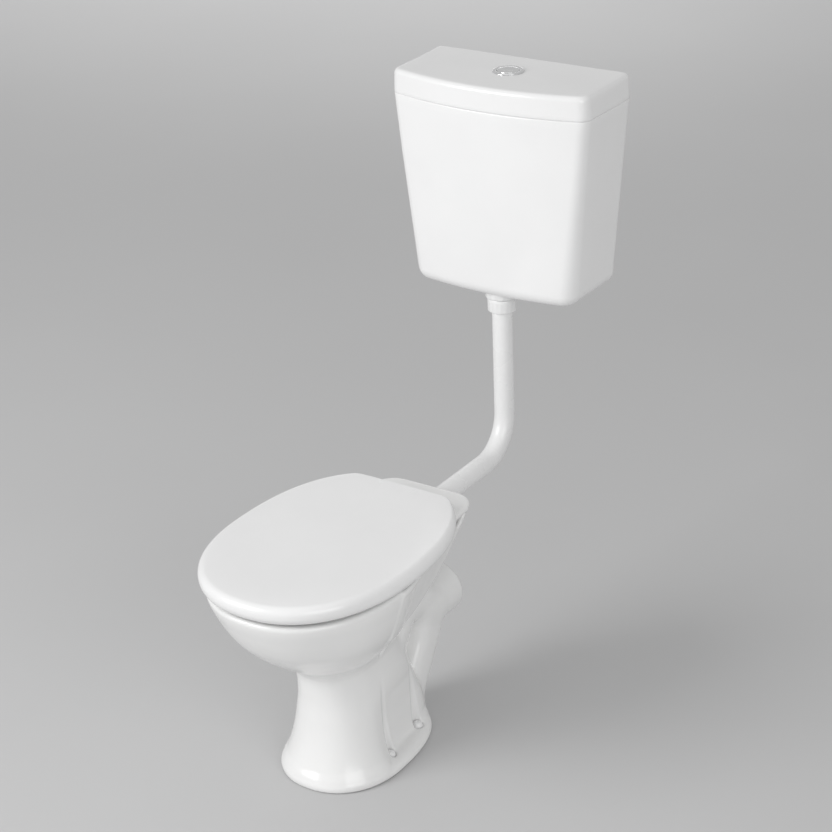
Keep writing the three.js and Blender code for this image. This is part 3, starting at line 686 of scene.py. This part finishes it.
def cistern_ring(z, inset, back_inset=0.0):
    height = z - CISTERN_BOTTOM
    half_width, side_depth = 166 + height * 0.0955, 157 + height * 0.010
    corner = 24.0 + 9 * max(0.0, 1 - height / 250)
    return cistern_outline(z, half_width, side_depth, 12 + height * 0.035, inset, back_inset, corner)


def make_cistern_body():
    radius, wall = 23.0, 4.0
    rings = [cistern_ring(CISTERN_BOTTOM, radius + 30, 12)]
    for out, down in reversed(round_steps(8)):
        rings.append(cistern_ring(CISTERN_BOTTOM + radius * (1 - down), radius * (1 - out),
                                  12 * (1 - out)))
    rings += [cistern_ring(z, 0) for z in (720, 760, 820, 880, 940, 1000, 1030, CISTERN_SEAM - 3.2)]
    rings += [cistern_ring(CISTERN_SEAM - 2.4, 0.2), cistern_ring(CISTERN_SEAM - 1.2, 0.9),
              cistern_ring(CISTERN_SEAM, 2.4)]
    rings += [cistern_ring(CISTERN_SEAM, wall - 1, wall - 1), cistern_ring(CISTERN_SEAM - 0.8, wall, wall)]
    rings += [cistern_ring(z, wall, wall) for z in (1000, 900, 800, 720)]
    floor = CISTERN_BOTTOM + wall
    for out, down in round_steps(5):
        rings.append(cistern_ring(floor + 15 * (1 - down), wall + 15 * (1 - out), wall + 9 * (1 - out)))
    rings.append(cistern_ring(floor, 45, wall + 12))
    mesh = loft_mesh("cistern_shell", rings)
    link_piece("cistern_shell", mesh, "white_plastic", "pan_and_cistern", ["cistern_body"])


def towards_hole(ring, share):
    """A ring drawn in towards the round hole for the button, reached at a share of nothing."""
    points = []
    for x, d, z in ring:
        angle = math.atan2(d - BUTTON_DISTANCE, x)
        hole_x, hole_d = HOLE_RADIUS * math.cos(angle), BUTTON_DISTANCE + HOLE_RADIUS * math.sin(angle)
        points.append((hole_x + (x - hole_x) * share, hole_d + (d - hole_d) * share, z))
    return points


def raised_back(ring):
    """Lifts the part of a top ring behind the button, highest at the wall."""
    points = []
    for x, d, z in ring:
        towards_wall = max(0.0, 1 - d / BUTTON_DISTANCE)
        set_in = min(1.0, max(0.0, (z - RISE_START) / RISE_SPAN))
        points.append((x, d, z + BACK_RISE * towards_wall ** 2 * set_in))
    return points


def lid_ring(z, half_width, inset, back_inset=0.0, depth=160.0, bow=25.4):
    return cistern_outline(z, half_width, depth, bow, inset, back_inset)


def make_cistern_lid():
    seam = CISTERN_SEAM + 0.3
    taper = [(seam + 1.2, 200.4), (1055, 200.2), (1065, 199.9), (1074, 199.5), (1080, 199.2)]
    radius, shoulder = 9.5, 1081.0
    rings = []
    for share in (0.0, 0.03, 0.1, 0.2, 0.35, 0.5, 0.65, 0.8, 0.92):
        fall = 0.5 * share ** 2
        rings.append(towards_hole(lid_ring(CISTERN_TOP - fall, 199, radius, 2.5), share))
    for out, up in reversed(round_steps(7)):
        rings.append(lid_ring(shoulder + radius * up, 199, radius * (1 - out), 2.5 * (1 - out)))
    rings += [lid_ring(z, half, 0) for z, half in reversed(taper)]
    rings = [raised_back(ring) for ring in rings]
    rings += [lid_ring(seam + 0.3, 200.4, 0.3), lid_ring(seam, 200.4, 1.2, 1)]
    rings += [lid_ring(seam, 200.4, 8.0, 5), lid_ring(1040, 192.2, 0, 5.2, 152, 22)]
    rings += [lid_ring(1039, 192.2, 0.8, 6, 152, 22), lid_ring(1039, 190, 0, 7, 150, 22)]
    rings += [lid_ring(1052, 190, 0, 8, 150, 22), lid_ring(1058, 194, 0, 8, 154, 22)]
    rings += [lid_ring(1078, 192, 0, 8, 152, 22), lid_ring(1084, 188, 0, 10, 148, 22)]
    under = lid_ring(1085, 184, 0, 14, 144, 22)
    rings += [towards_hole(under, share) for share in (1.0, 0.8, 0.5, 0.2, 0.0)]
    link_piece("cistern_cover", loft_mesh("cistern_cover", rings, closed=True), "white_plastic",
               "cistern_lid", ["cistern_lid"])


def make_button():
    top = CISTERN_TOP
    bezel = [(20.8, 1070), (24.4, 1070), (24.4, top + 0.2), (28.6, top + 0.2), (28.9, top + 1.0),
             (27.6, top + 2.4), (24.5, top + 3.0), (22.0, top + 2.6), (20.8, top + 1.2)]
    mesh = turned("button_ring", softened(bezel, 1.0), 0, BUTTON_DISTANCE, 96)
    link_piece("button_ring", mesh, "chrome", "cistern_lid", ["button_bezel"])
    cap = [(0.05, 1080), (20.2, 1080), (20.2, top + 2.0), (19.6, top + 3.0), (18.2, top + 3.5),
           (12, top + 3.4), (6, top + 3.1), (0.05, top + 3.0)]
    mesh = turned_solid("button_cap", cap, 0, BUTTON_DISTANCE, 96)
    cap_piece = link_piece("button_cap", mesh, "chrome", "flush_button", ["flush_button"])
    bevel = cap_piece.modifiers.new("soft_edge", "BEVEL")
    bevel.width = 0.4 * MM
    bevel.segments = 2
    dot = [(0.05, top + 2.6), (1.7, top + 2.6), (1.7, top + 3.5), (1.2, top + 3.8), (0.05, top + 3.9)]
    mesh = turned_solid("button_mark", dot, 0, BUTTON_DISTANCE - 12.5, 32)
    link_piece("button_mark", mesh, "grey_plastic", "flush_button", [])


# ------------------------------------------------------------------ flush pipe and its joints
def make_pipe():
    """Hollow bend swept along its centre line."""
    route = [(PIPE_DISTANCE, 684), (PIPE_DISTANCE, 640), (PIPE_DISTANCE, 560), (PIPE_DISTANCE, 480)]
    centre_d, centre_z = PIPE_DISTANCE + PIPE_BEND, PIPE_LEG_Z + PIPE_BEND
    for i in range(17):
        angle = math.pi / 2 * i / 16
        route.append((centre_d - PIPE_BEND * math.cos(angle), centre_z - PIPE_BEND * math.sin(angle)))
    route += [(260, PIPE_LEG_Z), (340, PIPE_LEG_Z), (420, PIPE_LEG_Z), (470, PIPE_LEG_Z)]
    sides = 48
    outer, inner = [], []
    for i, (d, z) in enumerate(route):
        before, after = route[max(i - 1, 0)], route[min(i + 1, len(route) - 1)]
        run = Vector((after[0] - before[0], after[1] - before[1])).normalized()
        across = Vector((-run.y, run.x))
        for store, radius in ((outer, PIPE_RADIUS), (inner, 17.0)):
            ring = []
            for s in range(sides):
                angle = 2 * math.pi * s / sides
                swing = radius * math.sin(angle)
                ring.append((radius * math.cos(angle), d + across.x * swing, z + across.y * swing))
            store.append(ring)
    mesh = loft_mesh("flush_bend", outer + inner[::-1], closed=True)
    link_piece("flush_bend", mesh, "pipe_plastic", "pan_and_cistern", ["flush_pipe"])


def ribbed_nut(name, outer, inner, low, high, ribs, depth, node, x, distance):
    """Plastic nut with rounded grips round its edge and a plain washer face."""
    sides = ribs * 8
    def ring(radius, z, grip):
        points = []
        for i in range(sides):
            angle = 2 * math.pi * i / sides
            pull = grip * depth * (0.5 - 0.5 * math.cos(ribs * angle)) ** 2
            points.append((x + (radius - pull) * math.cos(angle),
                           distance + (radius - pull) * math.sin(angle), z))
        return points
    face = low + (high - low) * 0.72
    profile = [(inner, low, 0), (outer - 1.5, low, 0.6), (outer - 0.4, low + 0.6, 1),
               (outer, low + 1.6, 1), (outer, face, 1), (outer, face + 0.6, 0.2),
               (outer, face + 1.4, 0), (outer, high - 1, 0), (outer - 1, high, 0), (inner, high, 0)]
    mesh = loft_mesh(name, [ring(*row) for row in profile], closed=True)
    link_piece(name, mesh, "white_plastic", "pan_and_cistern", [node])


def make_joints():
    ribbed_nut("pipe_nut", 27, 19.6, 651, 677, 16, 0.35, "coupling_nut", 0, PIPE_DISTANCE)
    ribbed_nut("cistern_nut", 31, 23.6, 678.5, 691.7, 12, 0.5, "valve_back_nut", 0, PIPE_DISTANCE)
    cone = [(19.4, 400), (24.5, 400), (26.3, 401.5), (26.3, 413), (25.2, 415.5), (24.6, 425),
            (25.0, 428), (24.0, 438), (24.4, 441), (23.2, 462), (19.4, 462)]
    sides = 64
    rings = [[(r * math.cos(2 * math.pi * i / sides), d, PIPE_LEG_Z + r * math.sin(2 * math.pi * i / sides))
              for i in range(sides)] for r, d in softened(cone, 0.8, 3)]
    mesh = loft_mesh("flush_seal", rings, closed=True)
    link_piece("flush_seal", mesh, "rubber", "pan_and_cistern", ["flush_cone"])


# ------------------------------------------------------------------ small fittings
def make_caps():
    for row, x, distance in FLOOR_FIXINGS:
        for side, hand in ((-1, "left"), (1, "right")):
            profile = [(7.2, 14.3), (9.3, 14.3), (9.4, 15.2), (8.9, 18.5), (7.6, 21.5), (5.2, 23.4),
                       (2.6, 23.9), (0.05, 24.0), (0.05, 19), (5.5, 18.6), (7.2, 17)]
            mesh = turned("fixing_cap", profile, side * x, distance, 48)
            link_piece(f"fixing_cap_{row}_{hand}", mesh, "white_plastic", "pan_and_cistern",
                       [f"screw_cap_{row}_{hand}"])


def along_x(name, profile, distance, z, sides=40):
    """Solid turned about an axis along X; profile is a list of (radius, x) from end to end."""
    rings = [[(x, distance + r * math.cos(2 * math.pi * i / sides),
               z + r * math.sin(2 * math.pi * i / sides)) for i in range(sides)] for r, x in profile]
    return loft_mesh(name, rings)


def make_hinges():
    rod = [(2.8, -88), (3.85, -87), (3.85, 0), (3.85, 87), (2.8, 88)]
    mesh = along_x("hinge_bar", rod, HINGE_DISTANCE, HINGE_Z)
    link_piece("hinge_bar", mesh, "steel", "pan_and_cistern", ["hinge_rod"])


def dress_nodes():
    """Gives every CAD node that still shows its finish."""
    finish_of = {row["node"]: row["material_slot"] for row in frame["record"]["subparts"]}
    for name, node in frame["nodes"].items():
        if name in REPLACED:
            continue
        node.data.materials.clear()
        node.data.materials.append(MATERIAL[finish_of[name]])


# ------------------------------------------------------------------ studio
def make_studio():
    floor_mesh = bpy.data.meshes.new("floor")
    reach = 30.0
    corners = [(-reach, -reach), (reach, -reach), (reach, reach), (-reach, reach)]
    floor_mesh.from_pydata([(x, y, -FLOOR_DROP * MM) for x, y in corners], [], [(0, 1, 2, 3)])
    floor = bpy.data.objects.new("floor", floor_mesh)
    bpy.context.collection.objects.link(floor)
    material, nodes, links, shader = node_material("studio_floor")
    tone = ramp(nodes, links, noise(nodes, links, 0.6), (0.56, 0.56, 0.562), (0.585, 0.585, 0.587))
    links.new(tone, shader.inputs["Base Color"])
    shader.inputs["Roughness"].default_value = 0.9
    shader.inputs["Specular IOR Level"].default_value = 0.1
    floor_mesh.materials.append(material)

    def area(name, place, target, size, power):
        light = bpy.data.lights.new(name, "AREA")
        light.shape = "RECTANGLE"
        light.size, light.size_y = size
        light.energy = power
        lamp = bpy.data.objects.new(name, light)
        bpy.context.collection.objects.link(lamp)
        lamp.location = place
        lamp.rotation_mode = "QUATERNION"
        lamp.rotation_quaternion = (Vector(target) - Vector(place)).to_track_quat("-Z", "Y")

    area("key", (-2.2, -3.6, 2.6), (0, 0, 0.55), (2.4, 2.4), 120)
    area("fill", (3.4, -2.2, 1.8), (0, 0, 0.5), (2.5, 2.5), 47)
    area("top", (-0.4, 0.2, 4.2), (0, 0, 0), (3.0, 3.0), 8)
    area("back", (-3.8, 5.6, 1.8), (-3.8, 5.7, 0), (5.0, 5.0), 58)
    world = bpy.data.worlds.new("studio")
    bpy.context.scene.world = world
    world.use_nodes = True
    sky = world.node_tree.nodes["Background"]
    sky.inputs["Color"].default_value = (1, 1, 1, 1)
    sky.inputs["Strength"].default_value = 0.5
    bpy.context.scene.view_settings.view_transform = "Standard"


make_camera()
make_pan()
make_seat()
make_cistern_body()
make_cistern_lid()
make_button()
make_pipe()
make_joints()
make_caps()
make_hinges()
dress_nodes()
make_studio()
